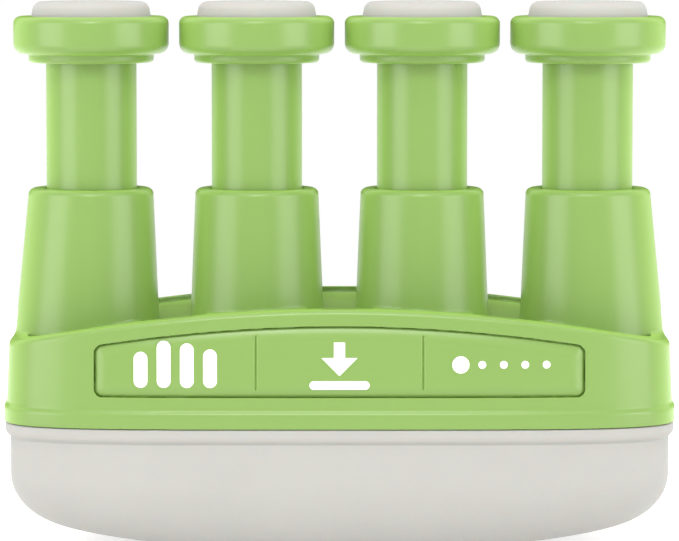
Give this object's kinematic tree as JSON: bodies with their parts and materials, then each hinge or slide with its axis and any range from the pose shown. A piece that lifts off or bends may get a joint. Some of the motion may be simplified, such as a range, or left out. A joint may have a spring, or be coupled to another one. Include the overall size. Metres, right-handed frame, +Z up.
{
  "type": "finger exerciser",
  "caption": "Hand-held finger exerciser: a row of sprung piston buttons with soft pads, in a towered housing with a curved soft palm rest",
  "frame": {"origin": "middle of the underside of the palm rest, at the bottom centre of the whole object", "axes": "+X along the row of pistons, front towards -Y, +Z up along the pistons"},
  "size_m": [0.08, 0.0356, 0.065],
  "materials": {
    "green_plastic": "satin moulded plastic",
    "soft_grey": "soft matt elastomer",
    "dark_plastic": "matt moulded plastic",
    "spring_steel": "drawn spring wire",
    "screw_steel": "zinc-plated"
  },
  "bodies": {
    "housing": {"housing": "green_plastic", "front_label_panel": "green_plastic", "back_label_panel": "green_plastic", "spring_plate": "dark_plastic", "palm_rest": "soft_grey", "return_spring_1": "spring_steel", "screw_1": "screw_steel", "return_spring_2": "spring_steel", "screw_2": "screw_steel", "return_spring_3": "spring_steel", "screw_3": "screw_steel", "return_spring_4": "spring_steel", "screw_4": "screw_steel"},
    "piston_1": {"piston_shaft_1": "green_plastic", "finger_cap_1": "green_plastic", "finger_pad_1": "soft_grey"},
    "piston_2": {"piston_shaft_2": "green_plastic", "finger_cap_2": "green_plastic", "finger_pad_2": "soft_grey"},
    "piston_3": {"piston_shaft_3": "green_plastic", "finger_cap_3": "green_plastic", "finger_pad_3": "soft_grey"},
    "piston_4": {"piston_shaft_4": "green_plastic", "finger_cap_4": "green_plastic", "finger_pad_4": "soft_grey"}
  },
  "joints": [
    {"name": "press_1", "type": "slide", "parent": "housing", "child": "piston_1", "axis": [0, 0, -1], "range_m": [0, 0.014], "stiffness_N_per_m": 300, "springref_m": -0.01, "deforming": ["return_spring_1"]},
    {"name": "press_2", "type": "slide", "parent": "housing", "child": "piston_2", "axis": [0, 0, -1], "range_m": [0, 0.014], "stiffness_N_per_m": 300, "springref_m": -0.01, "deforming": ["return_spring_2"]},
    {"name": "press_3", "type": "slide", "parent": "housing", "child": "piston_3", "axis": [0, 0, -1], "range_m": [0, 0.014], "stiffness_N_per_m": 300, "springref_m": -0.01, "deforming": ["return_spring_3"]},
    {"name": "press_4", "type": "slide", "parent": "housing", "child": "piston_4", "axis": [0, 0, -1], "range_m": [0, 0.014], "stiffness_N_per_m": 300, "springref_m": -0.01, "deforming": ["return_spring_4"]}
  ]
}
